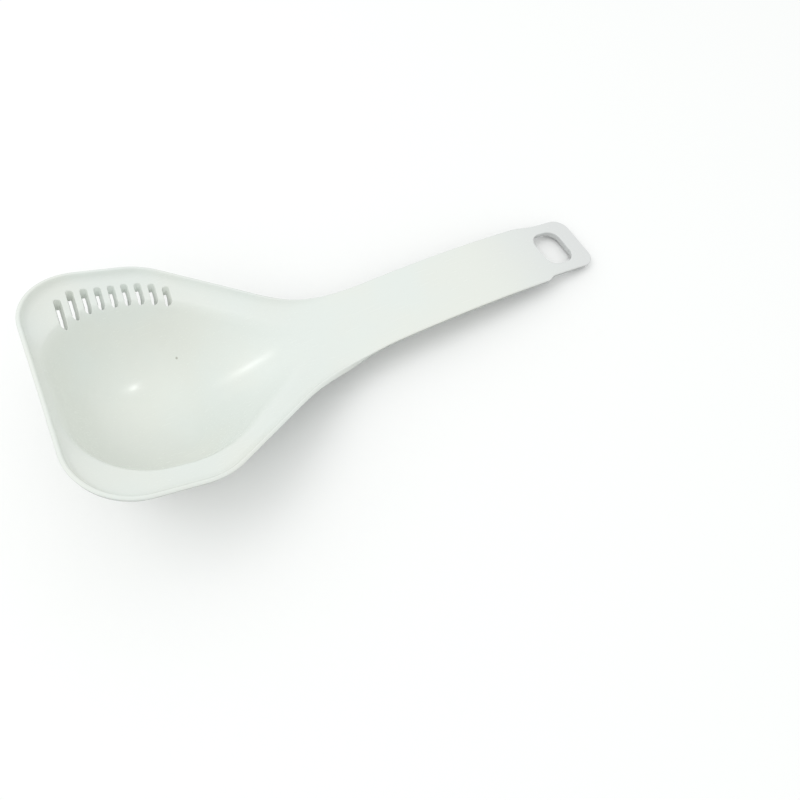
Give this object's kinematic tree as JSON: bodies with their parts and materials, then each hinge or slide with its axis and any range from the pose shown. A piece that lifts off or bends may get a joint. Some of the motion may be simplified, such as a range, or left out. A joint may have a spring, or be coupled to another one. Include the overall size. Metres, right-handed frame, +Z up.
{
  "type": "soup ladle",
  "caption": "One-piece moulded ladle: deep pear-shaped bowl with a straight pouring edge, a sloping ledge with drain slots on one side, and an arched flat handle with a hanging hole.",
  "frame": {"origin": "middle of the footprint at table height, with the ladle lying on the underside of its bowl and the end of its handle", "axes": "+X from the pouring edge to the end of the handle, +Y towards the side with the drain slots, +Z up out of the bowl"},
  "size_m": [0.2192, 0.0942, 0.0492],
  "materials": {
    "white_plastic": "smooth semi-gloss moulded plastic"
  },
  "bodies": {
    "root": {"ladle": "white_plastic"}
  },
  "joints": []
}
